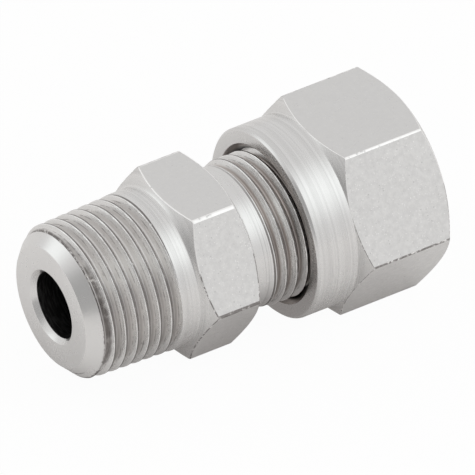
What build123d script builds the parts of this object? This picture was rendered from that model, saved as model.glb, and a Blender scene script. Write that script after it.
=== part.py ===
"""Male stud coupling: a taper-thread body, a cutting ring and a union nut, in millimetres.

The frame: X runs along the fitting's axis, from the stud's end face at the origin towards the union nut.
Z is up. Both hexagons have one flat facing straight down.
"""

import os
from math import cos, pi, radians, tan

from build123d import *

os.makedirs("parts", exist_ok=True)

# Taper thread on the stud: 3/8 inch pipe thread, 19 turns to the inch, taper 1 in 16 on the diameter
gauge_diameter = 16.662  # crest diameter at the gauge plane
gauge_length = 6.4  # from the end face to the gauge plane
taper = 1 / 16
taper_pitch = 1.337
taper_thread_depth = 0.856
taper_half_angle = 27.5  # half of the angle between the flanks
taper_thread_start = 1.8  # from the end face to the first groove
taper_thread_length = 8.1  # from the first groove to the run-out
taper_run_out = 0.4
stud_chamfer_height = 1.61  # from the crest to the end face's edge
stud_chamfer_length = 1.58

# Neck and hexagon of the body
neck_step = 0.03  # how far the neck stands above the last crest
neck_edge = 0.1  # length of the small slope up to the neck
neck_length = 2.03
body_hexagon_step = 0.52  # how far the flats stand above the neck and the union thread
body_hexagon_length = 7.07
body_corner_relief = 0.09  # taken off the corners by turning
body_face_angle = 29.0  # slope of the cones on the hexagon's ends
body_back_land = 0.7  # plain ring between the second neck and the rear cone

# The tube, its seat in the body, and the bore
tube_diameter = 10.0
tube_clearance = 0.05  # radial, in the seat
tube_seat_length = 1.8
tube_stop_width = 1.45  # shoulder that stops the tube's end
countersink_height = 0.45
countersink_length = 0.6

# Straight thread for the nut: 5/8 inch, 20 turns to the inch
cone_half_angle = 12.0
cone_height = 1.1  # from the tube's seat out to the cone's mouth
cone_lip = 1.0085  # wall between the cone's mouth and the thread's root
union_pitch = 1.27
union_thread_depth = 0.779
union_half_angle = 30.0
union_thread_length = 9.9
union_thread_chamfer = 0.6
second_neck_length = 2.4
second_neck_relief = 0.35  # how far the second neck lies below the crests
second_neck_slope = 0.9  # length of the slope up to the thread
second_neck_corner = 0.3  # small slope where the second neck meets the hexagon

# Cutting ring
ring_clearance = 0.08  # radial, round the tube
ring_nose_wall = 0.3
ring_cone_clearance = 0.1  # square to the body's cone
ring_end_gap = 0.3  # between the collar and the body's end face
ring_collar_height = 0.45  # how far the collar stands above the cone's mouth
ring_collar_length = 1.2
ring_tail_wall = 0.35
ring_tail_angle = 45.0

# Union nut
nut_thread_clearance = 0.06  # radial, from the body's crests to the nut's bore
nut_wall = 2.3125  # from the thread's crest to the flats
nut_overlap = 6.3  # how far the nut covers the body's threaded end, at rest
nut_collar_length = 4.7
nut_collar_relief = 0.015  # how far the collar lies below the flats
nut_collar_chamfer = 0.28
nut_hexagon_length = 11.1
nut_corner_relief = 0.06
nut_face_angle = 31.5
nut_rear_relief = 0.15  # how far the rear face's edge lies below the flats
nut_mouth_height = 0.66
nut_mouth_length = 0.7
nut_bore_run = 0.7  # how far the threaded bore runs past the body's end
nut_ring_clearance = 0.15
nut_hole_clearance = 0.25  # radial, round the tube
nut_hole_chamfer = 0.4

# Places and radii of the body
taper_slope = taper / 2


def taper_crest(x):
    """Radius of the taper thread's crest at a distance from the end face."""
    return gauge_diameter / 2 + (x - gauge_length) * taper_slope


bore_radius = tube_diameter / 2 - tube_stop_width
countersink_radius = bore_radius + countersink_height
end_face_radius = taper_crest(stud_chamfer_length) - stud_chamfer_height
taper_groove_end = taper_thread_start + taper_thread_length
crest_end = taper_groove_end + taper_run_out
neck_radius = taper_crest(crest_end) + neck_step
neck_start = crest_end + neck_edge
body_hexagon_start = neck_start + neck_length
body_hexagon_end = body_hexagon_start + body_hexagon_length

seat_radius = tube_diameter / 2 + tube_clearance
mouth_radius = seat_radius + cone_height
cone_slope = tan(radians(cone_half_angle))
union_radius = mouth_radius + cone_lip + union_thread_depth
second_neck_radius = union_radius - second_neck_relief
body_half_flats = max(neck_radius, union_radius) + body_hexagon_step
union_thread_start = body_hexagon_end + second_neck_length
body_end = union_thread_start + union_thread_length
cone_start = body_end - cone_height / cone_slope
seat_start = cone_start - tube_seat_length

# Places and radii of the ring
ring_bore = tube_diameter / 2 + ring_clearance
ring_nose_radius = ring_bore + ring_nose_wall
ring_cone_offset = ring_cone_clearance / cos(radians(cone_half_angle))
ring_nose = body_end - (mouth_radius - ring_cone_offset - ring_nose_radius) / cone_slope
ring_collar_start = body_end + ring_end_gap
ring_cone_end_radius = mouth_radius - ring_cone_offset + ring_end_gap * cone_slope
ring_collar_radius = mouth_radius + ring_collar_height
ring_collar_end = ring_collar_start + ring_collar_length
ring_tail_slope = tan(radians(ring_tail_angle))
ring_tail_radius = ring_bore + ring_tail_wall
ring_end = ring_collar_end + (ring_collar_radius - ring_tail_radius) / ring_tail_slope

# Places and radii of the nut
nut_bore = union_radius + nut_thread_clearance
nut_half_flats = union_radius + nut_wall
nut_collar_radius = nut_half_flats - nut_collar_relief
nut_start = body_end - nut_overlap
nut_hexagon_start = nut_start + nut_collar_length
nut_end = nut_hexagon_start + nut_hexagon_length
nut_bore_end = body_end + nut_bore_run
nut_pocket_radius = ring_collar_radius + nut_ring_clearance
nut_hole_radius = tube_diameter / 2 + nut_hole_clearance
shoulder_offset = nut_ring_clearance / cos(radians(ring_tail_angle))


def shoulder_place(radius):
    """Where the nut's inner shoulder has a given radius: it runs beside the ring's tail."""
    return ring_collar_end + (ring_collar_radius + shoulder_offset - radius) / ring_tail_slope


def hexagon_block(start, end, half_flats, corner_relief, start_radius, end_radius, face_angle):
    """Length of hexagon bar with turned corners and a cone on each end, out from the given radii."""
    corner_radius = half_flats / cos(pi / 6) - corner_relief
    slope = tan(radians(face_angle))
    with BuildPart() as block:
        with BuildSketch(Plane.YZ.offset(start)):
            RegularPolygon(half_flats, 6, major_radius=False)
        extrude(amount=end - start)
        with BuildSketch(Plane.XZ):
            with BuildLine():
                Polyline(
                    (start, 0),
                    (start, start_radius),
                    (start + (corner_radius - start_radius) * slope, corner_radius),
                    (end - (corner_radius - end_radius) * slope, corner_radius),
                    (end, end_radius),
                    (end, 0),
                    close=True,
                )
            make_face()
        revolve(axis=Axis.X, mode=Mode.INTERSECT)
    return block.part


def thread_grooves(start, end, crest, pitch, depth, half_angle):
    """One ring-shaped groove for each turn of a thread, with the thread's pitch, depth and flanks.

    crest gives the thread's crest radius at a place on the axis.
    """
    flank_slope = tan(radians(half_angle))
    half_root = (pitch / 2 - depth * flank_slope) / 2
    above_crest = depth / 2
    half_mouth = half_root + (depth + above_crest) * flank_slope
    turns = int((end - start) / pitch)
    with BuildPart() as grooves:
        with BuildSketch(Plane.XZ):
            for turn in range(turns):
                centre = start + (turn + 0.5) * pitch
                root_radius = crest(centre) - depth
                mouth_level = crest(centre) + above_crest
                with BuildLine():
                    Polyline(
                        (centre - half_root, root_radius),
                        (centre + half_root, root_radius),
                        (centre + half_mouth, mouth_level),
                        (centre - half_mouth, mouth_level),
                        close=True,
                    )
                make_face()
        revolve(axis=Axis.X)
    return grooves.part


body_hexagon = hexagon_block(
    body_hexagon_start,
    body_hexagon_end,
    body_half_flats,
    body_corner_relief,
    neck_radius,
    second_neck_radius + body_back_land,
    body_face_angle,
)
taper_grooves = thread_grooves(
    taper_thread_start, taper_groove_end, taper_crest, taper_pitch, taper_thread_depth, taper_half_angle
)
union_grooves = thread_grooves(
    union_thread_start + second_neck_slope,
    body_end - union_thread_chamfer,
    lambda x: union_radius,
    union_pitch,
    union_thread_depth,
    union_half_angle,
)

with BuildPart() as stud_body:
    # The turned outside, from the end face to the cone's mouth
    with BuildSketch(Plane.XZ):
        with BuildLine():
            Polyline(
                (0, 0),
                (0, end_face_radius),
                (stud_chamfer_length, taper_crest(stud_chamfer_length)),
                (crest_end, taper_crest(crest_end)),
                (neck_start, neck_radius),
                (body_hexagon_start, neck_radius),
                (body_hexagon_end, second_neck_radius + second_neck_corner),
                (body_hexagon_end + second_neck_corner, second_neck_radius),
                (union_thread_start, second_neck_radius),
                (union_thread_start + second_neck_slope, union_radius),
                (body_end - union_thread_chamfer, union_radius),
                (body_end, union_radius - union_thread_chamfer),
                (body_end, 0),
                close=True,
            )
        make_face()
    revolve(axis=Axis.X)
    add(body_hexagon)
    add(taper_grooves, mode=Mode.SUBTRACT)
    add(union_grooves, mode=Mode.SUBTRACT)
    # The countersunk bore, the tube's seat and the cone
    with BuildSketch(Plane.XZ):
        with BuildLine():
            Polyline(
                (0, 0),
                (0, countersink_radius),
                (countersink_length, bore_radius),
                (seat_start, bore_radius),
                (seat_start, seat_radius),
                (cone_start, seat_radius),
                (body_end, mouth_radius),
                (body_end, 0),
                close=True,
            )
        make_face()
    revolve(axis=Axis.X, mode=Mode.SUBTRACT)

with BuildPart() as cutting_ring:
    with BuildSketch(Plane.XZ):
        with BuildLine():
            Polyline(
                (ring_nose, ring_bore),
                (ring_nose, ring_nose_radius),
                (ring_collar_start, ring_cone_end_radius),
                (ring_collar_start, ring_collar_radius),
                (ring_collar_end, ring_collar_radius),
                (ring_end, ring_tail_radius),
                (ring_end, ring_bore),
                close=True,
            )
        make_face()
    revolve(axis=Axis.X)

nut_hexagon = hexagon_block(
    nut_hexagon_start,
    nut_end,
    nut_half_flats,
    nut_corner_relief,
    nut_collar_radius,
    nut_half_flats - nut_rear_relief,
    nut_face_angle,
)

with BuildPart() as union_nut:
    # The round collar in front of the hexagon
    with BuildSketch(Plane.XZ):
        with BuildLine():
            Polyline(
                (nut_start, 0),
                (nut_start, nut_collar_radius - nut_collar_chamfer),
                (nut_start + nut_collar_chamfer, nut_collar_radius),
                (nut_hexagon_start, nut_collar_radius),
                (nut_hexagon_start, 0),
                close=True,
            )
        make_face()
    revolve(axis=Axis.X)
    add(nut_hexagon)
    # The mouth, the threaded bore, the ring's pocket with its shoulder, and the tube's hole
    with BuildSketch(Plane.XZ):
        with BuildLine():
            Polyline(
                (nut_start, 0),
                (nut_start, nut_bore + nut_mouth_height),
                (nut_start + nut_mouth_length, nut_bore),
                (nut_bore_end, nut_bore),
                (nut_bore_end, nut_pocket_radius),
                (shoulder_place(nut_pocket_radius), nut_pocket_radius),
                (shoulder_place(nut_hole_radius), nut_hole_radius),
                (nut_end - nut_hole_chamfer, nut_hole_radius),
                (nut_end, nut_hole_radius + nut_hole_chamfer),
                (nut_end, 0),
                close=True,
            )
        make_face()
    revolve(axis=Axis.X, mode=Mode.SUBTRACT)

stud_body.part.label = "stud_body"
cutting_ring.part.label = "cutting_ring"
union_nut.part.label = "union_nut"
export_step(stud_body.part, "parts/stud_body.step")
export_step(cutting_ring.part, "parts/cutting_ring.step")
export_step(union_nut.part, "parts/union_nut.step")
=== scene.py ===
"""Looks of the male stud coupling: its body, union nut and cutting ring, and the stage they lie on.

X runs along the fitting's axis, from the stud's end face at the origin towards the nut, and Z is up.
Angles round the axis start at the top and grow from +Z towards -Y, as a right-handed turn about +X does.
"""

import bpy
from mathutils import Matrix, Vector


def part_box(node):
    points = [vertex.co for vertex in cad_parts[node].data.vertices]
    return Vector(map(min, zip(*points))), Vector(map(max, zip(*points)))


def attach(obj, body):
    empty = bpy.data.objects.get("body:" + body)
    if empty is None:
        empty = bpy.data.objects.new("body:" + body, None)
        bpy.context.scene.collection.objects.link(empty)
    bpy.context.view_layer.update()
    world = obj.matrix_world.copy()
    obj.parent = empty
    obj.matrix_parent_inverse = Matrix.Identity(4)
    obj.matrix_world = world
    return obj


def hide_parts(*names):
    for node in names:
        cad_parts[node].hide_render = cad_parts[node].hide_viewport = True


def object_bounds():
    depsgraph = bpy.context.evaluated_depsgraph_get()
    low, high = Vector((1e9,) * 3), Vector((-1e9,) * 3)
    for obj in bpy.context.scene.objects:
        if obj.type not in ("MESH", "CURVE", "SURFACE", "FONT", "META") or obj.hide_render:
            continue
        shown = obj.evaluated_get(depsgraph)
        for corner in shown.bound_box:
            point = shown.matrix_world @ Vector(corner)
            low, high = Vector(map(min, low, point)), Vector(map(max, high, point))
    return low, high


bl_info = {
    "name": "Male stud coupling",
    "version": (1, 0, 0),
    "blender": (4, 5, 0),
    "location": "3D View > Sidebar > Coupling",
    "description": "Models and finishes a male stud coupling around its packed solids",
    "category": "Add Mesh",
}

from math import acos, atan2, cos, degrees, floor, hypot, pi, radians, sin, sqrt, tan
from types import SimpleNamespace

import bmesh
import bpy
from bpy.props import FloatProperty, FloatVectorProperty, PointerProperty
from mathutils import Quaternion, Vector

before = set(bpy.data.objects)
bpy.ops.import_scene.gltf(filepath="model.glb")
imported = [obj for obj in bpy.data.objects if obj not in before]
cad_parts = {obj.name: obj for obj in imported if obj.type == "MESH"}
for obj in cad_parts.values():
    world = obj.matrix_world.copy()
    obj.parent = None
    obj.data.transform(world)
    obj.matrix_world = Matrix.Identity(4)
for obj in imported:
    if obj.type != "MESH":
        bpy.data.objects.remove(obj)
cad_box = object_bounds()

# Pieces are modelled in millimetres, with angles round the axis in degrees
MM = 0.001
SEGMENTS = 180
FIRST_ANGLE = 1.0

# Margins between two places: the same, just apart, and well apart
TOUCHING = 1e-4
SKIN = 0.02
CLEAR = 0.2

# Spacing of the rows into which turned surfaces are divided
THREAD_ROWS = 0.054
INNER_THREAD_ROWS = 0.056
SECOND_NECK_ROWS = 0.07
CONE_ROWS = 0.25
COLLAR_ROWS = 0.3
BORE_ROWS = 0.5

# How far a groove may run past its thread's end, and where it rises to nothing, from that end
RUN_PAST = 0.8
TAPER_FADE = (-0.35, 0.25)
UNION_FADE = (0.3, -1.3)

# How far past a hexagon and below its flats faces are cut, how near a corner a vertex moves onto it,
# and the most corners of a face that isn't a flat
HEXAGON_SIDES = 6
HEXAGON_MARGIN = 0.1
HEXAGON_DEPTH = 0.5
CORNER_REACH = 1.5
MOST_SMALL_CORNERS = 12

# Width of the hexagons' softened edges, and the bends past which an edge stays sharp
BODY_SOFTNESS = 0.08
NUT_SOFTNESS = 0.04
SHARP_BEND = radians(35)
RING_SHARP_BEND = radians(30)

# The stage, in metres, and the camera's sensor in millimetres
FLOOR_RADIUS = 3.0
FLOOR_GAP = 0.01 * MM
# The dim card just above the floor under the coupling, seen only in the steel, is a painted contact
# shadow.
PAINTED_SHADOW_CARD_GAP = 0.05 * MM
PAINTED_SHADOW_CARD_STRETCH = 1.9
NEAREST_SEEN = 0.05
FURTHEST_SEEN = 20.0
SENSOR_WIDTH = 36.0

body_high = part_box("stud_body")[1]
ring_low, ring_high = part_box("cutting_ring")
nut_low, nut_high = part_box("union_nut")


# Sizes and colours that a user would change


def length(name, description, millimetres):
    """A length whose default is given in millimetres."""
    return FloatProperty(
        name=name,
        description=description,
        default=millimetres * MM,
        unit="LENGTH",
        subtype="DISTANCE",
        precision=5,
    )


def angle(name, description, default):
    """An angle whose default is given in degrees."""
    return FloatProperty(
        name=name,
        description=description,
        default=radians(default),
        unit="ROTATION",
        subtype="ANGLE",
    )


def share(name, description, default):
    """A number without a unit."""
    return FloatProperty(name=name, description=description, default=default)


def colour(name, description, default):
    """A colour."""
    return FloatVectorProperty(
        name=name, description=description, default=default, subtype="COLOR", min=0, max=1
    )


class BodySizes(bpy.types.PropertyGroup):
    """Sizes of the body with its two threads"""

    countersink_radius: length("Countersink radius", "Radius of the bore's countersink", 4.0)
    countersink_length: length("Countersink length", "Depth of the bore's countersink", 0.6)
    bore_radius: length("Bore radius", "Radius of the flow bore", 3.55)
    end_face_radius: length("End face radius", "Outer radius of the stud's end face", 6.57)
    chamfer_length: length("Chamfer length", "Length of the stud's chamfer", 1.58)
    gauge_radius: length("Gauge radius", "Crest radius of the taper thread at its gauge plane", 8.331)
    gauge_length: length("Gauge length", "Place of the gauge plane from the end face", 6.4)
    taper: share("Taper", "Growth of the crest radius along the axis", 1 / 32)
    taper_pitch: length("Taper thread pitch", "Advance of the taper thread in one turn", 1.337)
    taper_depth: length("Taper thread depth", "Depth of the taper thread", 0.856)
    taper_half_angle: angle("Taper thread half angle", "Half of the angle between its flanks", 27.5)
    taper_crest: length("First taper crest", "Place of a taper thread crest at the top", 2.177)
    crest_end: length("Crest end", "Where the taper thread's crests end", 10.3)
    neck_start: length("Neck start", "Where the plain neck starts", 10.4)
    neck_radius: length("Neck radius", "Radius of the plain neck", 8.483)
    hexagon_start: length("Hexagon start", "Where the hexagon's front cone starts", 12.43)
    hexagon_end: length("Hexagon end", "Where the hexagon ends", 19.5)
    half_flats: length("Half flats", "Distance from the axis to the flats", body_high.z / MM)
    corner_radius: length("Corner radius", "Radius of the turned corners", body_high.y / MM)
    face_angle: angle("Face angle", "Slope of the cones on the hexagon's ends", 29.0)
    back_radius: length("Back radius", "Inner radius of the rear cone", 8.2875)
    second_neck_radius: length("Second neck radius", "Radius of the neck behind the hexagon", 7.5875)
    second_neck_corner: length("Second neck corner", "Slope where that neck meets the hexagon", 0.3)
    union_start: length("Nut thread start", "Where the thread for the nut starts to rise", 21.9)
    union_slope: length("Nut thread slope", "Length of the rise to the crests", 0.9)
    union_radius: length("Nut thread radius", "Crest radius of the thread for the nut", 7.9375)
    union_pitch: length("Nut thread pitch", "Advance of the nut thread in one turn", 1.27)
    union_depth: length("Nut thread depth", "Depth of the thread for the nut", 0.779)
    union_half_angle: angle("Nut thread half angle", "Half of the angle between its flanks", 30.0)
    union_crest: length("First nut thread crest", "Place of a nut thread crest at the top", 21.575)
    body_end: length("Body end", "Where the body ends, inside the nut", body_high.x / MM)
    end_chamfer: length("End chamfer", "Chamfer on the threaded end", 0.6)
    mouth_radius: length("Cone mouth radius", "Radius of the cone's mouth", 6.15)
    cone_start: length("Cone start", "Where the cone starts", 26.625)
    seat_radius: length("Seat radius", "Radius of the tube's seat", 5.05)
    seat_start: length("Seat start", "Shoulder that stops the tube", 24.825)


class RingSizes(bpy.types.PropertyGroup):
    """Sizes of the cutting ring"""

    bore: length("Ring bore", "Bore radius of the ring", 5.08)
    nose_radius: length("Nose radius", "Radius of the ring's nose", 5.38)
    cone_end_radius: length("Cone end radius", "Radius where the cone meets the collar", 6.1115)
    collar_start: length("Collar start", "Where the ring's collar starts", 32.1)
    collar_end: length("Collar end", "Where the ring's collar ends", 33.3)
    collar_radius: length("Collar radius", "Radius of the ring's collar", ring_high.z / MM)
    tail_radius: length("Tail radius", "Radius of the ring's tail", 5.43)


class NutSizes(bpy.types.PropertyGroup):
    """Sizes of the union nut"""

    collar_radius: length("Collar radius", "Radius of the round collar", 10.235)
    collar_chamfer: length("Collar chamfer", "Chamfer on the collar's front edge", 0.28)
    hexagon_start: length("Hexagon start", "Where the hexagon's front cone starts", 30.2)
    half_flats: length("Half flats", "Distance from the axis to the flats", nut_high.z / MM)
    corner_radius: length("Corner radius", "Radius of the turned corners", nut_high.y / MM)
    face_angle: angle("Face angle", "Slope of the cones on the hexagon's ends", 31.5)
    rear_radius: length("Rear radius", "Outer radius of the rear face", 10.1)
    hole_radius: length("Tube hole radius", "Radius of the hole for the tube", 5.25)
    hole_chamfer: length("Tube hole chamfer", "Chamfer on the hole's outer edge", 0.4)
    shoulder_start: length("Shoulder start", "Where the inner shoulder starts", 33.362)
    shoulder_end: length("Shoulder end", "Where the inner shoulder meets the hole", 34.862)
    pocket_radius: length("Pocket radius", "Radius of the ring's pocket", 6.75)
    bore_end: length("Threaded bore end", "Where the threaded bore ends", 32.5)
    bore_radius: length("Threaded bore radius", "Root radius of the nut's thread", 7.9975)
    inner_radius: length("Thread inner radius", "Crest radius of the nut's thread", 7.27)
    mouth_radius: length("Mouth radius", "Radius of the mouth on the front face", 8.6575)
    mouth_length: length("Mouth length", "Length of the mouth's chamfer", 0.7)


class Looks(bpy.types.PropertyGroup):
    """Colours and roughness of the steel, and the stage"""

    steel: colour("Steel", "Colour of the satin steel", (0.76, 0.75, 0.74))
    groove: colour("Grooves", "Colour deep in the threads", (0.75, 0.73, 0.715))
    galled: colour("Galled thread", "Colour of the galled thread for the nut", (0.52, 0.475, 0.45))
    burr: colour("Burr", "Colour of torn edges and marks", (0.13, 0.115, 0.11))
    roughness: share("Roughness", "Roughness of the turned steel", 0.27)
    floor: colour("Floor", "Colour of the floor", (0.8, 0.785, 0.775))
    studio: share("Studio", "Brightness of the white studio all round", 0.8)
    key_strength: share("Key strength", "Brightness of the front lamp", 1.75)
    rear_strength: share("Rear strength", "Brightness of the rear lamp", 1.9)
    key_card: share("Key card", "Brightness that the steel mirrors from the front", 1.27)
    rear_card: share("Rear card", "Brightness that the steel mirrors from behind", 1.24)
    grey_card: share("Grey card", "Brightness that the steel mirrors from the left", 0.44)
    # This card under the coupling is a painted contact shadow that only the steel mirrors.
    painted_shadow_card: share("Painted shadow card", "Brightness that the steel mirrors from close below", 0.3)
    azimuth: angle("Camera azimuth", "Turn of the camera round the coupling", -33.5)
    elevation: angle("Camera elevation", "Height of the camera above the floor plane", 39.3)
    roll: angle("Camera roll", "Turn of the camera about its line of sight", 1.45)
    distance: length("Camera distance", "Distance from the camera to its aim", 1800.0)
    view_width: length("View width", "Width of what the camera sees at its aim", 48.03)
    aim: length("Aim", "Place along the axis that the camera looks at", 22.31)
    drop: length("Drop", "How far the aim lies below the axis in the picture", 0.322)


def in_millimetres(group):
    """A property group's lengths in millimetres, with its other values as they are."""
    values = {}
    for item in group.bl_rna.properties:
        if item.type == "FLOAT":
            value = getattr(group, item.identifier)
            values[item.identifier] = value / MM if item.unit == "LENGTH" else value
    return SimpleNamespace(**values)


# Turned shapes


def radius_of(point):
    """Distance from the axis."""
    return hypot(point.y, point.z)


def angle_of(point):
    """Angle round the axis in degrees, from the top towards the front."""
    return degrees(atan2(-point.y, point.z))


def place_round(point, radius, degrees_round):
    """Moves a vertex to a radius and angle round the axis."""
    turn = radians(degrees_round)
    point.y = -radius * sin(turn)
    point.z = radius * cos(turn)


def lay_section(bm, corners):
    """Lays a closed half section beside the axis, from corners of place, radius and rounding."""
    sine = sin(radians(FIRST_ANGLE))
    cosine = cos(radians(FIRST_ANGLE))
    verts = [bm.verts.new((place, -radius * sine, radius * cosine)) for place, radius, _ in corners]
    for first, second in zip(verts, verts[1:] + verts[:1]):
        bm.edges.new((first, second))
    for vert, (_, _, rounding) in zip(verts, corners):
        if rounding:
            bmesh.ops.bevel(
                bm,
                geom=[vert],
                offset=rounding,
                offset_type="OFFSET",
                segments=3,
                profile=0.5,
                affect="VERTICES",
                material=-1,
            )


def divide_section(bm, start, end, low, high, spacing):
    """Divides the section's edges between two places and two radii into rows of even spacing."""

    def inside(vert):
        within = start - TOUCHING < vert.co.x < end + TOUCHING
        return within and low < radius_of(vert.co) < high

    for edge in [e for e in bm.edges if inside(e.verts[0]) and inside(e.verts[1])]:
        cuts = int(edge.calc_length() / spacing)
        if cuts:
            bmesh.ops.subdivide_edges(bm, edges=[edge], cuts=cuts)


def spin_section(bm):
    """Spins the section once round the axis and turns its faces outwards."""
    bmesh.ops.spin(
        bm,
        geom=bm.verts[:] + bm.edges[:],
        cent=(0, 0, 0),
        axis=(1, 0, 0),
        dvec=(0, 0, 0),
        angle=2 * pi,
        steps=SEGMENTS,
        use_merge=True,
        use_normal_flip=False,
        use_duplicate=False,
    )
    bmesh.ops.recalc_face_normals(bm, faces=bm.faces[:])


def cut_hexagon(bm, start, end, half_flats, corner_radius, softness):
    """Cuts six flats, closes each with one face, and softens their edges."""
    half_corner = 180 / HEXAGON_SIDES - degrees(acos(half_flats / corner_radius))
    step = 360 / HEXAGON_SIDES
    for vert in bm.verts:
        if abs(radius_of(vert.co) - corner_radius) < TOUCHING:
            turn = angle_of(vert.co)
            corner = step * (floor(turn / step) + 0.5)
            if abs(turn - corner) < CORNER_REACH:
                side = half_corner if turn > corner else -half_corner
                place_round(vert.co, corner_radius, corner + side)
    flats = []
    for side in range(HEXAGON_SIDES):
        turn = radians(step * side)
        outwards = Vector((0, -sin(turn), cos(turn)))
        low = start - HEXAGON_MARGIN
        high = end + HEXAGON_MARGIN
        zone = [f for f in bm.faces if low < f.calc_center_median().x < high]
        zone = [f for f in zone if any(radius_of(v.co) > half_flats - HEXAGON_DEPTH for v in f.verts)]
        around = {e for f in zone for e in f.edges} | {v for f in zone for v in f.verts}
        bmesh.ops.bisect_plane(
            bm,
            geom=zone + list(around),
            dist=TOUCHING,
            plane_co=outwards * half_flats,
            plane_no=outwards,
            clear_outer=True,
            clear_inner=False,
        )
        rim = [e for e in bm.edges if e.is_boundary]
        made = bmesh.ops.holes_fill(bm, edges=rim, sides=0)["faces"]
        if len(made) != 1:
            raise RuntimeError(f"flat {side} of the hexagon closed with {len(made)} faces")
        flats += made
    bmesh.ops.recalc_face_normals(bm, faces=bm.faces[:])
    rims = {e for f in flats for e in f.edges}
    for edge in bm.edges:
        ends = edge.verts
        on_corner = all(abs(radius_of(v.co) - corner_radius) < SKIN for v in ends)
        if on_corner and abs(ends[0].co.x - ends[1].co.x) < TOUCHING:
            rims.add(edge)
    softened = bmesh.ops.bevel(
        bm,
        geom=list(rims),
        offset=softness,
        offset_type="OFFSET",
        segments=2,
        profile=0.5,
        affect="EDGES",
        clamp_overlap=False,
        material=-1,
    )["faces"]
    flat_faces = [f for f in bm.faces if len(f.verts) > MOST_SMALL_CORNERS]
    if len(flat_faces) != HEXAGON_SIDES:
        raise RuntimeError(f"the hexagon has {len(flat_faces)} flats")
    return flat_faces, softened


# Threads


class Thread:
    """A right-handed thread: its pitch, depth, flank angle and rounded crest, with a round root."""

    def __init__(self, pitch, depth, half_angle, crest_place, crest_round):
        self.pitch = pitch
        self.depth = depth
        self.half_angle = half_angle
        self.crest_place = crest_place
        self.half_crest = pitch / 4 - depth / 2 * tan(half_angle)
        self.root_round = self.half_crest / tan(pi / 4 - half_angle / 2)
        self.crest_round = min(crest_round, self.root_round)

    def rounded(self, distance, rounding):
        """Fall from a flat end of the profile, at a distance from its middle."""
        flank = (distance - self.half_crest) / tan(self.half_angle)
        arc_start = self.half_crest - rounding * tan(pi / 4 - self.half_angle / 2)
        arc_end = arc_start + rounding * cos(self.half_angle)
        if distance <= arc_start:
            return 0.0
        if distance < arc_end:
            return rounding - sqrt(rounding**2 - (distance - arc_start) ** 2)
        return flank

    def below_crest(self, distance):
        """Depth below the crest, at a distance along the axis from the nearest crest's middle."""
        if distance < self.pitch / 4:
            return self.rounded(distance, self.crest_round)
        return self.depth - self.rounded(self.pitch / 2 - distance, self.root_round)

    def at(self, x, turn):
        """Depth below the crest at a place and angle, and the place of the groove it belongs to."""
        first = self.crest_place + self.pitch * turn / 360
        turns = (x - first) / self.pitch
        nearest = abs(turns - round(turns)) * self.pitch
        groove = first + (floor(turns) + 0.5) * self.pitch
        return self.below_crest(nearest), groove


def fade(value, start, end):
    """Smooth rise from nothing at start to one at end."""
    portion = min(1.0, max(0.0, (value - start) / (end - start)))
    return portion * portion * (3 - 2 * portion)


def body_threads(sizes):
    """The stud's taper thread and the straight thread for the nut."""
    taper = Thread(
        sizes.taper_pitch,
        sizes.taper_depth,
        sizes.taper_half_angle,
        sizes.taper_crest,
        crest_round=0.05,
    )
    union = Thread(
        sizes.union_pitch,
        sizes.union_depth,
        sizes.union_half_angle,
        sizes.union_crest,
        crest_round=0.07,
    )
    return taper, union


def sink_thread(bm, thread, first, last, least_radius, crest_at, fading):
    """Sinks a thread's groove between first and last, and lifts it out along the stretch of fading."""
    for vert in bm.verts:
        x = vert.co.x
        radius = radius_of(vert.co)
        if first < x < last and radius > least_radius:
            turn = angle_of(vert.co)
            depth, groove = thread.at(x, turn)
            depth = max(0.0, depth - thread.depth * fade(groove, *fading))
            place_round(vert.co, min(radius, max(radius, crest_at(x)) - depth), turn)


def raise_nut_thread(bm, sizes, thread, start):
    """Raises the nut's thread in its bore, on the body's helix and clear of it."""
    mouth_slope = (sizes.mouth_radius - sizes.bore_radius) / sizes.mouth_length
    for vert in bm.verts:
        x = vert.co.x
        radius = radius_of(vert.co)
        if x < sizes.bore_end - TOUCHING and radius < sizes.mouth_radius + SKIN / 2:
            turn = angle_of(vert.co)
            depth, _ = thread.at(x, turn)
            mouth = sizes.mouth_radius - (x - start) * mouth_slope
            relief = sizes.bore_radius - (sizes.bore_end - x)
            ridge = sizes.bore_radius - depth
            place_round(vert.co, max(ridge, sizes.inner_radius, mouth, relief), turn)


# Finishes


class Field:
    """A number that may change over a surface. Maths on it adds Math nodes to its finish."""

    def __init__(self, finish, socket):
        self.finish = finish
        self.socket = socket

    def __add__(self, other):
        return self.finish.maths("ADD", self, other)

    def __radd__(self, other):
        return self.finish.maths("ADD", other, self)

    def __sub__(self, other):
        return self.finish.maths("SUBTRACT", self, other)

    def __rsub__(self, other):
        return self.finish.maths("SUBTRACT", other, self)

    def __mul__(self, other):
        return self.finish.maths("MULTIPLY", self, other)

    def __rmul__(self, other):
        return self.finish.maths("MULTIPLY", other, self)

    def __truediv__(self, other):
        return self.finish.maths("DIVIDE", self, other)

    def __rtruediv__(self, other):
        return self.finish.maths("DIVIDE", other, self)


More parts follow.
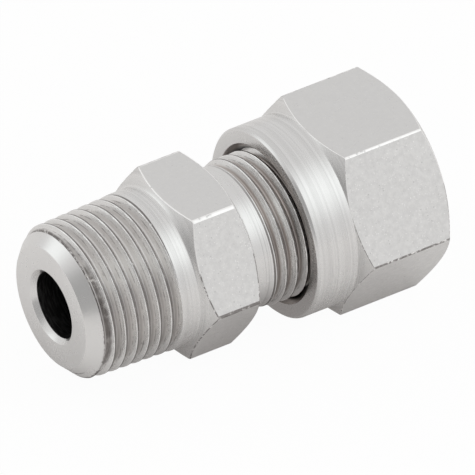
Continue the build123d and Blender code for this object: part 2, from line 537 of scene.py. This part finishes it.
class Finish:
    """One material and the nodes it is made of."""

    def __init__(self, name):
        self.material = bpy.data.materials.new(name)
        self.material.use_nodes = True
        self.tree = self.material.node_tree
        self.tree.nodes.clear()

    def node(self, kind, settings, inputs, output=0):
        """Adds a node of a type, sets its settings, then the values or links of its sockets."""
        made = self.tree.nodes.new("ShaderNode" + kind)
        for key, value in settings.items():
            setattr(made, key, value)
        for key, value in inputs.items():
            if isinstance(value, Field):
                self.tree.links.new(value.socket, made.inputs[key])
            else:
                made.inputs[key].default_value = value
        return Field(self, made.outputs[output]) if made.outputs else None

    def maths(self, operation, *values):
        """One Math node."""
        return self.node("Math", {"operation": operation}, dict(enumerate(values)))

    def clamp(self, value):
        """The value kept between nothing and one."""
        return self.node("Clamp", {}, {0: value})

    def band(self, value, low, high):
        """Smooth rise of a field from nothing at low to one at high."""
        settings = {"interpolation_type": "SMOOTHSTEP"}
        return self.node("MapRange", settings, {0: value, 1: low, 2: high, 3: 0.0, 4: 1.0})

    def stripe(self, value, low, full, falling, high):
        """Smooth rise of a field from nothing to one, and its fall to nothing again."""
        return self.band(value, low, full) * (1 - self.band(value, falling, high))

    def mix(self, portion, first, second):
        """Mixes two colours."""
        settings = {"data_type": "RGBA", "clamp_factor": True}
        return self.node("Mix", settings, {0: portion, 6: first, 7: second}, output=2)

    def coordinates(self):
        """Object coordinates."""
        return self.node("TexCoord", {}, {}, output=3)

    def stretched(self, along, across):
        """Object coordinates in millimetres, scaled along the axis and across it."""
        scale = (along / MM, across / MM, across / MM)
        return self.node("Mapping", {}, {"Vector": self.coordinates(), "Scale": scale})

    def noise(self, along, across, detail=2.0, rough=0.5):
        """Noise with so many waves a millimetre along the axis and across it."""
        inputs = {
            "Vector": self.stretched(along, across),
            "Scale": 1.0,
            "Detail": detail,
            "Roughness": rough,
        }
        return self.node("TexNoise", {"noise_dimensions": "3D"}, inputs)

    def specks(self, cells, size, cut):
        """Scattered small specks: so many cells a millimetre, with most of them left out."""
        inputs = {"Vector": self.stretched(cells, cells), "Scale": 1.0}
        near = self.node("TexVoronoi", {}, inputs, output=0)
        chance = self.node("TexVoronoi", {}, inputs, output=1)
        picked = self.band(self.node("SeparateColor", {}, {0: chance}), cut, cut + 0.02)
        return (1 - self.band(near, size * 0.5, size)) * picked

    def cylinder(self):
        """Place along the axis, radius and angle round it in degrees, in millimetres."""
        scale = (1 / MM, 1 / MM, 1 / MM)
        scaled = self.node("Mapping", {}, {"Vector": self.coordinates(), "Scale": scale})
        x = self.node("SeparateXYZ", {}, {0: scaled}, output=0)
        y = self.node("SeparateXYZ", {}, {0: scaled}, output=1)
        z = self.node("SeparateXYZ", {}, {0: scaled}, output=2)
        radius = self.maths("SQRT", y * y + z * z)
        turn = self.maths("ARCTAN2", 0 - y, z) * (180 / pi)
        return x, radius, turn

    def steel(self, base, roughness, height):
        """Closes the finish as metal with a colour, a roughness and a relief in micrometres."""
        relief = self.node("Bump", {}, {"Strength": 1.0, "Distance": 1e-6, "Height": height})
        shader = self.node(
            "BsdfPrincipled",
            {},
            {"Base Color": base, "Metallic": 1.0, "Roughness": roughness, "Normal": relief},
        )
        self.node("OutputMaterial", {}, {"Surface": shader})
        return self.material


def opaque(values):
    """A colour property as a socket's four numbers."""
    return (*values, 1.0)


def shade(values, factor):
    """A colour made darker or lighter."""
    return tuple(min(1.0, value * factor) for value in values[:3]) + (1.0,)


def turned_steel(name, looks, lines=1.0):
    """Steel with turning lines of some strength round the axis, and a faint mottle."""
    finish = Finish(name)
    steel = opaque(looks.steel)
    fine = finish.noise(7.0, 0.04, 3.0, 0.6)
    broad = finish.noise(2.4, 0.03, 2.0)
    mottle = finish.noise(1.4, 1.4, 3.0)
    streak = finish.band(broad, 0.4, 0.62)
    base = finish.mix(streak * min(1.0, lines), shade(steel, 1.02), shade(steel, 0.93))
    base = finish.mix(finish.band(fine, 0.56, 0.66) * (0.4 * lines), base, shade(steel, 0.74))
    rough = looks.roughness + (fine - 0.5) * 0.12 + (mottle - 0.5) * 0.08
    height = fine * (7.0 * lines) + broad * (9.0 * lines) + mottle * 1.5
    return finish.steel(base, rough, height)


def flat_steel(name, looks):
    """Steel of the drawn bar's flats: small specks, mottle and scratches along the bar.

    From the front flat down it is peened more than on the top and behind.
    """
    finish = Finish(name)
    steel = opaque(looks.steel)
    turn = finish.cylinder()[2]
    peened = 0.3 + 0.7 * finish.band(turn, 28.0, 32.0)
    mottle = finish.noise(1.9, 1.9, 4.0, 0.62)
    grain = finish.noise(5.5, 5.5, 2.0)
    drawn = finish.noise(0.25, 5.0, 3.0, 0.6)
    bright = finish.specks(4.6, 0.34, 0.74)
    dark = finish.specks(3.4, 0.3, 0.92)
    base = finish.mix(finish.band(mottle, 0.3, 0.7) * peened, shade(steel, 0.95), shade(steel, 1.05))
    base = finish.mix(bright * (0.7 * peened), base, shade(steel, 1.3))
    base = finish.mix(dark * (0.5 * peened), base, shade(steel, 0.55))
    rough = looks.roughness + 0.05 + (mottle - 0.5) * 0.2 + (grain - 0.5) * 0.08
    height = mottle * (9.0 * peened) + grain * (11.0 * peened) + drawn * 1.5
    return finish.steel(base, rough, height)


def corner_steel(name, looks):
    """Bright burnished steel of the bar's corners and softened edges, with ragged dark patches on the
    lower ones: nicks and painted shade.
    """
    finish = Finish(name)
    steel = opaque(looks.steel)
    rub = finish.noise(1.6, 1.6, 4.0, 0.7)
    base = finish.mix(finish.band(rub, 0.55, 0.72), shade(steel, 1.3), shade(steel, 0.8))
    turn = finish.cylinder()[2]
    # Only the lower corners get ragged burr-coloured patches: nicks and painted shade of the side away
    # from the light.
    below = finish.band(turn, 60.0, 62.0) + finish.band(0 - turn, 28.0, 32.0)
    lower_nicks_and_shade = finish.band(rub, 0.36, 0.52) * finish.clamp(below)
    base = finish.mix(lower_nicks_and_shade * 0.8, base, opaque(looks.burr))
    rough = looks.roughness + 0.12 + (rub - 0.5) * 0.3
    return finish.steel(base, rough, rub * 5.0)


def thread_steel(name, looks, crest_line, depth, groove, tinted, helix=None, chamfer=None, painted_shade=None):
    """Steel of a thread: dull down in the grooves, with worn crests and torn edges.

    crest_line is a crest radius, its growth along the axis and where it is measured. tinted are the
    shares of the depth between which the groove's colour sets in. helix is the place of a crest, the
    pitch and where the thread starts. chamfer is the edge's radius, slope and reach, and the last
    argument the places between which an inner thread is painted near black, as painted shade.
    """
    finish = Finish(name)
    steel = opaque(looks.steel)
    x, radius, turn = finish.cylinder()
    crest_radius, slope, gauge = crest_line
    crest = crest_radius + (x - gauge) * slope
    streaks_and_shade = 0.45
    if chamfer:
        edge_radius, chamfer_slope, chamfer_end = chamfer
        reach = chamfer_end + 0.5
        crest = finish.maths("MINIMUM", crest, edge_radius + x * chamfer_slope)
        streaks_and_shade = 0.3 * finish.band(x, chamfer_end - 0.2, chamfer_end + 0.2)
    down = finish.clamp((crest - radius) / depth)
    fine = finish.noise(6.0, 0.05, 3.0, 0.65)
    patch = finish.noise(0.5, 0.35, 3.0, 0.6)
    galled = finish.noise(3.0, 0.8, 3.0, 0.7)
    base = finish.mix(finish.band(down, *tinted), steel, opaque(groove))
    # The dark fine streaks are weaker at the top and full from 55 degrees on: partly painted shade of
    # the lower front.
    streaks_and_shade = streaks_and_shade * (0.4 + 0.6 * finish.band(turn, 10.0, 55.0))
    base = finish.mix(finish.band(fine, 0.52, 0.64) * streaks_and_shade, base, shade(steel, 0.55))
    worn = finish.band(galled, 0.6, 0.68) * finish.band(patch, 0.5, 0.62)
    if chamfer:
        worn = worn * finish.band(x, reach - 0.3, reach + 0.2)
    base = finish.mix(worn * 0.5, base, shade(steel, 0.45))
    rough = looks.roughness - 0.02 + (patch - 0.5) * 0.15 + down * 0.06
    height = fine * 3.0 + galled * 3.0 + worn * 6.0
    if helix:
        place, pitch, begins = helix
        threaded = finish.band(x, begins, begins + 0.6)
        phase = finish.maths("FRACT", (x - place) * (1 / pitch) - turn * (1 / 360))
        chipped = finish.noise(1.3, 1.0, 4.0, 0.7)
        torn = finish.band(phase, 0.955, 0.975) + (1 - finish.band(phase, 0.1, 0.14))
        torn = torn * finish.band(chipped, 0.28, 0.42) * threaded
        polished = finish.stripe(phase, 0.875, 0.9, 0.95, 0.97)
        polished = polished * finish.band(chipped, 0.3, 0.6) * threaded
        # Root band in burr colour: a faint even dirt all round, plus painted shade that grows from 30 to
        # 65 degrees round, from the top towards the front.
        root_dirt_and_shade = finish.stripe(phase, 0.38, 0.46, 0.56, 0.72)
        root_dirt_and_shade = root_dirt_and_shade * (0.04 + 0.46 * finish.band(turn, 30.0, 65.0)) * threaded
        scored = finish.stripe(phase, 0.72, 0.735, 0.75, 0.77)
        scored = scored * finish.band(galled, 0.42, 0.6) * threaded
        base = finish.mix(root_dirt_and_shade, base, opaque(looks.burr))
        base = finish.mix(scored * 0.5, base, opaque(looks.burr))
        base = finish.mix(polished * 0.6, base, shade(steel, 1.28))
        base = finish.mix(torn * 0.85, base, opaque(looks.burr))
        height = height + polished * chipped * 25.0
    if chamfer:
        break_edge = (edge_radius + x * chamfer_slope) - radius
        ragged = finish.noise(2.6, 1.6, 4.0, 0.75)
        line = finish.stripe(break_edge, 0.01, 0.05, 0.08, 0.3)
        line = line * finish.band(x, chamfer_end * 0.4, chamfer_end * 0.6)
        rim = finish.band(x + ragged * 0.5, chamfer_end, chamfer_end + 0.1)
        rim = rim * (1 - finish.band(x, chamfer_end + 0.04, chamfer_end + 0.16))
        burr = finish.maths("MAXIMUM", line * (1 - finish.band(x, reach, reach + 0.3)), rim)
        burr = burr * finish.band(ragged, 0.38, 0.5)
        base = finish.mix(burr * 0.85, base, opaque(looks.burr))
        height = height + burr * 20.0
    # Painted shade: past these places the inner thread's colour goes near black.
    if painted_shade:
        base = finish.mix(finish.band(x, *painted_shade), base, shade(steel, 0.06))
    return finish.steel(base, rough, height)


def painted_dark_bore_steel(name, looks):
    """Steel of the bored inside, painted near black as painted shade, with fine drill marks."""
    finish = Finish(name)
    steel = opaque(looks.steel)
    marks = finish.noise(5.0, 0.8, 3.0, 0.7)
    # Painted shade: the bore's colour is made nearly black, where little light gets in.
    base = finish.mix(finish.band(marks, 0.4, 0.7), shade(steel, 0.06), shade(steel, 0.17))
    return finish.steel(base, looks.roughness + 0.1 + marks * 0.1, marks * 5.0)


# Pieces


def close_piece(bm, name, finishes, body, node):
    """Checks that a piece is closed, makes its object, and joins it to the frame."""
    loose = [e for e in bm.edges if len(e.link_faces) != 2]
    if loose:
        raise RuntimeError(f"{name} has {len(loose)} edges that don't join two faces")
    for face in bm.faces:
        face.smooth = True
    bmesh.ops.scale(bm, vec=(MM, MM, MM), verts=bm.verts[:])
    mesh = bpy.data.meshes.new(name)
    bm.to_mesh(mesh)
    bm.free()
    for finish in finishes:
        mesh.materials.append(finish)
    piece = bpy.data.objects.new(name, mesh)
    bpy.context.scene.collection.objects.link(piece)
    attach(piece, body)
    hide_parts(node)


def sharpen(bm, own_edges, limit):
    """Marks the edges sharp that turn by more than a limit, and those round faces of some finishes."""
    for edge in bm.edges:
        faces = edge.link_faces
        if len(faces) == 2:
            first, second = (f.material_index for f in faces)
            apart = first != second and (first in own_edges or second in own_edges)
            edge.smooth = not (apart or edge.calc_face_angle(0) > limit)


BODY_ZONES = ("turned", "taper thread", "nut thread", "flats", "corners", "end face", "bore")
NUT_ZONES = ("turned", "thread", "flats", "corners", "bore")


class COUPLING_OT_body(bpy.types.Operator):
    """Models the body: stud with taper thread, hexagon, and the thread for the nut"""

    bl_idname = "coupling.body"
    bl_label = "Body"

    def execute(self, context):
        sizes = in_millimetres(context.scene.coupling_body)
        looks = context.scene.coupling_looks
        cone = tan(sizes.face_angle)
        front = sizes.hexagon_start + (sizes.corner_radius - sizes.neck_radius) * cone
        rear = sizes.hexagon_end - (sizes.corner_radius - sizes.back_radius) * cone

        def taper_crest(x):
            return sizes.gauge_radius + (x - sizes.gauge_length) * sizes.taper

        bm = bmesh.new()
        lay_section(
            bm,
            [
                (0, sizes.countersink_radius, 0.04),
                (0, sizes.end_face_radius, 0.07),
                (sizes.chamfer_length, taper_crest(sizes.chamfer_length), 0),
                (sizes.crest_end, taper_crest(sizes.crest_end), 0),
                (sizes.neck_start, sizes.neck_radius, 0.04),
                (sizes.hexagon_start, sizes.neck_radius, 0.12),
                (front, sizes.corner_radius, 0),
                (rear, sizes.corner_radius, 0),
                (sizes.hexagon_end, sizes.back_radius, 0.04),
                (sizes.hexagon_end, sizes.second_neck_radius + sizes.second_neck_corner, 0.08),
                (sizes.hexagon_end + sizes.second_neck_corner, sizes.second_neck_radius, 0.1),
                (sizes.union_start, sizes.second_neck_radius, 0.15),
                (sizes.union_start + sizes.union_slope, sizes.union_radius, 0),
                (sizes.body_end - sizes.end_chamfer, sizes.union_radius, 0),
                (sizes.body_end, sizes.union_radius - sizes.end_chamfer, 0),
                (sizes.body_end, sizes.mouth_radius, 0.05),
                (sizes.cone_start, sizes.seat_radius, 0),
                (sizes.seat_start, sizes.seat_radius, 0),
                (sizes.seat_start, sizes.bore_radius, 0.05),
                (sizes.countersink_length, sizes.bore_radius, 0.03),
            ],
        )
        outside = sizes.end_face_radius - CLEAR
        neck_reach = sizes.neck_radius + CLEAR
        divide_section(bm, 0, sizes.neck_start + CLEAR, outside, neck_reach, THREAD_ROWS)
        divide_section(bm, sizes.neck_start, sizes.hexagon_start, outside, neck_reach, CONE_ROWS)
        low = sizes.union_radius - sizes.end_chamfer - CLEAR
        high = sizes.union_radius + CLEAR
        divide_section(bm, sizes.union_start - CLEAR, sizes.body_end, low, high, THREAD_ROWS)
        divide_section(bm, sizes.hexagon_end, sizes.union_start, low, high, SECOND_NECK_ROWS)
        spin_section(bm)
        taper, union = body_threads(sizes)
        last = sizes.neck_start + RUN_PAST
        fading = [sizes.crest_end + place for place in TAPER_FADE]
        sink_thread(bm, taper, -1, last, sizes.end_face_radius - SKIN / 2, taper_crest, fading)
        first = sizes.union_start - RUN_PAST
        least = sizes.mouth_radius + CLEAR
        fading = [sizes.union_start + place for place in UNION_FADE]
        sink_thread(bm, union, first, sizes.body_end + 1, least, lambda x: sizes.union_radius, fading)
        flats, softened = cut_hexagon(
            bm,
            sizes.hexagon_start,
            sizes.hexagon_end,
            sizes.half_flats,
            sizes.corner_radius,
            BODY_SOFTNESS,
        )
        corners = set(softened)
        for face in bm.faces:
            middle = face.calc_center_median()
            radius = radius_of(middle)
            if radius < outside and middle.x > SKIN / 2:
                face.material_index = BODY_ZONES.index("bore")
                if middle.x < sizes.countersink_length - SKIN:
                    face.material_index = BODY_ZONES.index("end face")
            elif middle.x < SKIN:
                face.material_index = BODY_ZONES.index("end face")
            elif middle.x < sizes.neck_start:
                face.material_index = BODY_ZONES.index("taper thread")
            elif middle.x > sizes.hexagon_end + sizes.second_neck_corner:
                face.material_index = BODY_ZONES.index("nut thread")
            elif radius > sizes.corner_radius - SKIN:
                corners.add(face)
        for face in corners:
            face.material_index = BODY_ZONES.index("corners")
        for face in flats:
            face.material_index = BODY_ZONES.index("flats")
        sharpen(bm, {BODY_ZONES.index("flats"), BODY_ZONES.index("corners")}, SHARP_BEND)
        chamfer_height = taper_crest(sizes.chamfer_length) - sizes.end_face_radius
        chamfer_slope = chamfer_height / sizes.chamfer_length
        finishes = [
            turned_steel("Body turned steel", looks),
            thread_steel(
                "Taper thread steel",
                looks,
                (sizes.gauge_radius, sizes.taper, sizes.gauge_length),
                sizes.taper_depth,
                looks.groove,
                (0.05, 0.8),
                helix=(sizes.taper_crest, sizes.taper_pitch, sizes.chamfer_length - 0.4),
                chamfer=(sizes.end_face_radius, chamfer_slope, sizes.chamfer_length),
            ),
            thread_steel(
                "Nut thread steel",
                looks,
                (sizes.union_radius, 0.0, 0.0),
                sizes.union_depth,
                looks.galled,
                (0.47, 0.9),
                helix=(sizes.union_crest, sizes.union_pitch, sizes.union_start - 0.6),
            ),
            flat_steel("Body flat steel", looks),
            corner_steel("Body corner steel", looks),
            turned_steel("End face steel", looks, 0.4),
            painted_dark_bore_steel("Bore steel with painted shade", looks),
        ]
        close_piece(bm, "coupling_body", finishes, "body", "stud_body")
        return {"FINISHED"}


class COUPLING_OT_ring(bpy.types.Operator):
    """Models the cutting ring inside the nut"""

    bl_idname = "coupling.ring"
    bl_label = "Cutting ring"

    def execute(self, context):
        sizes = in_millimetres(context.scene.coupling_ring)
        looks = context.scene.coupling_looks
        nose = ring_low.x / MM
        tail = ring_high.x / MM
        bm = bmesh.new()
        lay_section(
            bm,
            [
                (nose, sizes.bore, 0.03),
                (nose, sizes.nose_radius, 0.03),
                (sizes.collar_start, sizes.cone_end_radius, 0),
                (sizes.collar_start, sizes.collar_radius, 0.08),
                (sizes.collar_end, sizes.collar_radius, 0.08),
                (tail, sizes.tail_radius, 0.05),
                (tail, sizes.bore, 0.05),
            ],
        )
        cone_low = sizes.nose_radius - CLEAR
        cone_high = sizes.cone_end_radius + CLEAR
        divide_section(bm, nose, sizes.collar_start, cone_low, cone_high, CONE_ROWS)
        divide_section(bm, nose, tail, sizes.bore - CLEAR, sizes.bore + CLEAR, BORE_ROWS)
        spin_section(bm)
        sharpen(bm, set(), RING_SHARP_BEND)
        finishes = [turned_steel("Ring steel", looks, 1.2)]
        close_piece(bm, "coupling_ring", finishes, "ring", "cutting_ring")
        return {"FINISHED"}


class COUPLING_OT_nut(bpy.types.Operator):
    """Models the union nut: round collar, hexagon and inner thread"""

    bl_idname = "coupling.nut"
    bl_label = "Union nut"

    def execute(self, context):
        sizes = in_millimetres(context.scene.coupling_nut)
        body = in_millimetres(context.scene.coupling_body)
        looks = context.scene.coupling_looks
        start = nut_low.x / MM
        end = nut_high.x / MM
        cone = tan(sizes.face_angle)
        front = sizes.hexagon_start + (sizes.corner_radius - sizes.collar_radius) * cone
        rear = end - (sizes.corner_radius - sizes.rear_radius) * cone
        bm = bmesh.new()
        lay_section(
            bm,
            [
                (start, sizes.mouth_radius, 0.05),
                (start, sizes.collar_radius - sizes.collar_chamfer, 0.06),
                (start + sizes.collar_chamfer, sizes.collar_radius, 0.06),
                (sizes.hexagon_start, sizes.collar_radius, 0),
                (front, sizes.corner_radius, 0),
                (rear, sizes.corner_radius, 0),
                (end, sizes.rear_radius, 0.06),
                (end, sizes.hole_radius + sizes.hole_chamfer, 0.06),
                (end - sizes.hole_chamfer, sizes.hole_radius, 0.05),
                (sizes.shoulder_end, sizes.hole_radius, 0.05),
                (sizes.shoulder_start, sizes.pocket_radius, 0),
                (sizes.bore_end, sizes.pocket_radius, 0.05),
                (sizes.bore_end, sizes.bore_radius, 0),
                (start + sizes.mouth_length, sizes.bore_radius, 0),
            ],
        )
        low = sizes.inner_radius - CLEAR
        high = sizes.mouth_radius + SKIN
        divide_section(bm, start, sizes.bore_end, low, high, INNER_THREAD_ROWS)
        low = sizes.collar_radius - CLEAR
        high = sizes.collar_radius + SKIN
        collar_start = start + sizes.collar_chamfer + SKIN
        divide_section(bm, collar_start, sizes.hexagon_start, low, high, COLLAR_ROWS)
        low = sizes.hole_radius - CLEAR
        high = sizes.hole_radius + CLEAR
        divide_section(bm, sizes.shoulder_end, end, low, high, BORE_ROWS)
        spin_section(bm)
        raise_nut_thread(bm, sizes, body_threads(body)[1], start)
        flats, softened = cut_hexagon(
            bm, sizes.hexagon_start, end, sizes.half_flats, sizes.corner_radius, NUT_SOFTNESS
        )
        corners = set(softened)
        for face in bm.faces:
            middle = face.calc_center_median()
            radius = radius_of(middle)
            if radius > sizes.corner_radius - SKIN:
                corners.add(face)
            elif start + SKIN < middle.x < end - SKIN and radius < sizes.mouth_radius:
                inner = middle.x < sizes.bore_end and radius > sizes.inner_radius - CLEAR / 2
                face.material_index = NUT_ZONES.index("thread" if inner else "bore")
        for face in corners:
            face.material_index = NUT_ZONES.index("corners")
        for face in flats:
            face.material_index = NUT_ZONES.index("flats")
        sharpen(bm, {NUT_ZONES.index("flats"), NUT_ZONES.index("corners")}, SHARP_BEND)
        finishes = [
            turned_steel("Nut turned steel", looks),
            thread_steel(
                "Nut inner thread steel with painted shade",
                looks,
                (sizes.inner_radius, 0.0, 0.0),
                -1.0,
                looks.galled,
                (0.05, 0.8),
                # Past the mouth the inner thread is painted near black, as painted shade inside the nut.
                painted_shade=(start + 0.3, start + sizes.mouth_length),
            ),
            flat_steel("Nut flat steel", looks),
            corner_steel("Nut corner steel", looks),
            painted_dark_bore_steel("Nut bore steel with painted shade", looks),
        ]
        close_piece(bm, "coupling_nut", finishes, "nut", "union_nut")
        return {"FINISHED"}


# Stage


def aim_at(thing, target, away, distance):
    """Places a lamp, card or camera at a distance from its target and turns its front to it."""
    thing.location = target + away * distance
    thing.rotation_mode = "QUATERNION"
    thing.rotation_quaternion = away.to_track_quat("Z", "Y")


def add_softbox(name, target, direction, distance, width, height, strength, tint):
    """A rectangular lamp whose front has a given brightness, where a white ground has one."""
    light = bpy.data.lights.new(name, "AREA")
    light.shape = "RECTANGLE"
    light.size = width
    light.size_y = height
    light.color = tint
    light.energy = strength * pi * width * height
    lamp = bpy.data.objects.new(name, light)
    bpy.context.scene.collection.objects.link(lamp)
    aim_at(lamp, target, Vector(direction).normalized(), distance)
    lamp.visible_camera = False
    lamp.visible_glossy = False


def floor_finish(looks):
    """Pale floor that turns nearly white where the camera sees it, and keeps a faint shadow."""
    finish = Finish("Floor")
    seen = finish.node("LightPath", {}, {}, output="Is Camera Ray")
    mirrored = finish.node("LightPath", {}, {}, output="Is Glossy Ray")
    through = finish.node("LightPath", {}, {}, output="Is Transmission Ray")
    plain = finish.node("BsdfDiffuse", {}, {"Color": opaque(looks.floor)})
    white = finish.node("Emission", {}, {"Color": (1, 1, 1, 1), "Strength": 1.0})
    portion = seen * 0.96 + mirrored * 0.1 + through * 0.1
    surface = finish.node("MixShader", {}, {0: portion, 1: plain, 2: white})
    finish.node("OutputMaterial", {}, {"Surface": surface})
    return finish.material


def card_finish(name, brightness, tint, inner, outer):
    """A card that glows evenly out to one radius and fades to nothing at another."""
    finish = Finish(name)
    rim = finish.node("VectorMath", {"operation": "LENGTH"}, {0: finish.coordinates()}, output=1)
    glow = finish.node("Emission", {}, {"Color": opaque(tint), "Strength": brightness})
    clear = finish.node("BsdfTransparent", {}, {})
    gone = finish.band(rim, inner, outer)
    surface = finish.node("MixShader", {}, {0: gone, 1: glow, 2: clear})
    finish.node("OutputMaterial", {}, {"Surface": surface})
    return finish.material


def add_sheet(name, size, finish):
    """A flat round sheet for the stage."""
    bm = bmesh.new()
    bmesh.ops.create_circle(bm, cap_ends=True, cap_tris=False, segments=64, radius=size)
    mesh = bpy.data.meshes.new(name)
    bm.to_mesh(mesh)
    bm.free()
    mesh.materials.append(finish)
    sheet = bpy.data.objects.new(name, mesh)
    bpy.context.scene.collection.objects.link(sheet)
    return sheet


def add_card(name, target, direction, distance, inner, outer, brightness, tint):
    """A round card with a soft rim, which only mirroring surfaces see."""
    card = add_sheet(name, outer, card_finish(name, brightness, tint, inner, outer))
    aim_at(card, target, Vector(direction).normalized(), distance)
    card.visible_camera = False
    card.visible_diffuse = False
    card.visible_shadow = False
    return card


class COUPLING_OT_stage(bpy.types.Operator):
    """Sets up the pale floor, the white studio with its lamps and cards, and the camera"""

    bl_idname = "coupling.stage"
    bl_label = "Stage"

    def execute(self, context):
        looks = context.scene.coupling_looks
        scene = context.scene
        world = bpy.data.worlds.new("Studio")
        world.use_nodes = True
        background = next(n for n in world.node_tree.nodes if n.type == "BACKGROUND")
        background.inputs["Color"].default_value = (1, 1, 1, 1)
        background.inputs["Strength"].default_value = looks.studio
        scene.world = world
        scene.view_settings.view_transform = "Standard"
        ground = add_sheet("floor", FLOOR_RADIUS, floor_finish(looks))
        ground.location.z = min(cad_box[0].z, nut_low.z) - FLOOR_GAP
        middle = Vector((looks.aim, 0, 0))
        key_tint = (0.97, 1.0, 1.0)
        add_softbox("key", middle, (0.42, -0.52, 0.74), 0.45, 0.3, 0.26, looks.key_strength, key_tint)
        add_softbox("rear", middle, (-0.66, 0.7, 0.33), 0.45, 0.24, 0.2, looks.rear_strength, key_tint)
        add_card("key_card", middle, (0.43, -0.49, 0.76), 0.45, 0.02, 0.35, looks.key_card, key_tint)
        add_card("rear_card", middle, (-0.68, 0.64, 0.36), 0.45, 0.05, 0.2, looks.rear_card, key_tint)
        add_card("grey_card", middle, (-0.87, -0.42, 0.2), 0.3, 0.12, 0.3, looks.grey_card, (1, 1, 1))
        # A dim sheet right under the coupling, seen only in the steel: a painted contact shadow.
        warm_tint = (1.0, 0.95, 0.93)
        below = add_card("painted_shadow_card", middle, (0, 0, 1), 0, 0.0, 0.018, looks.painted_shadow_card, warm_tint)
        below.location.z = ground.location.z + PAINTED_SHADOW_CARD_GAP
        below.scale.x = PAINTED_SHADOW_CARD_STRETCH
        away = Vector(
            (
                sin(looks.azimuth) * cos(looks.elevation),
                -cos(looks.azimuth) * cos(looks.elevation),
                sin(looks.elevation),
            )
        )
        side = Vector((0, 0, 1)).cross(away).normalized()
        upwards = away.cross(side)
        lens = bpy.data.cameras.new("camera")
        lens.sensor_width = SENSOR_WIDTH
        lens.lens = SENSOR_WIDTH * looks.distance / looks.view_width
        lens.clip_start = NEAREST_SEEN
        lens.clip_end = FURTHEST_SEEN
        camera = bpy.data.objects.new("camera", lens)
        scene.collection.objects.link(camera)
        aim_at(camera, middle - upwards * looks.drop, away, looks.distance)
        camera.rotation_quaternion @= Quaternion((0, 0, 1), looks.roll)
        scene.camera = camera
        return {"FINISHED"}


class COUPLING_PT_panel(bpy.types.Panel):
    """Lists the coupling's pieces and its stage"""

    bl_label = "Male stud coupling"
    bl_idname = "COUPLING_PT_panel"
    bl_space_type = "VIEW_3D"
    bl_region_type = "UI"
    bl_category = "Coupling"

    def draw(self, context):
        column = self.layout.column()
        for operator in OPERATORS:
            column.operator(operator.bl_idname)
        for group in (context.scene.coupling_body, context.scene.coupling_nut):
            column.prop(group, "half_flats")
        for item in ("steel", "groove", "roughness"):
            column.prop(context.scene.coupling_looks, item)


OPERATORS = (COUPLING_OT_stage, COUPLING_OT_body, COUPLING_OT_ring, COUPLING_OT_nut)
CLASSES = (BodySizes, RingSizes, NutSizes, Looks, *OPERATORS, COUPLING_PT_panel)


def register():
    """Adds the sizes and looks to the scene, and the operators and their panel."""
    for item in CLASSES:
        bpy.utils.register_class(item)
    bpy.types.Scene.coupling_body = PointerProperty(type=BodySizes)
    bpy.types.Scene.coupling_ring = PointerProperty(type=RingSizes)
    bpy.types.Scene.coupling_nut = PointerProperty(type=NutSizes)
    bpy.types.Scene.coupling_looks = PointerProperty(type=Looks)


def unregister():
    """Takes away all that register adds."""
    for name in ("coupling_looks", "coupling_nut", "coupling_ring", "coupling_body"):
        delattr(bpy.types.Scene, name)
    for item in reversed(CLASSES):
        bpy.utils.unregister_class(item)


def main():
    """Makes the stage and the three pieces."""
    register()
    bpy.ops.coupling.stage()
    bpy.ops.coupling.body()
    bpy.ops.coupling.ring()
    bpy.ops.coupling.nut()


if __name__ == "__main__":
    main()
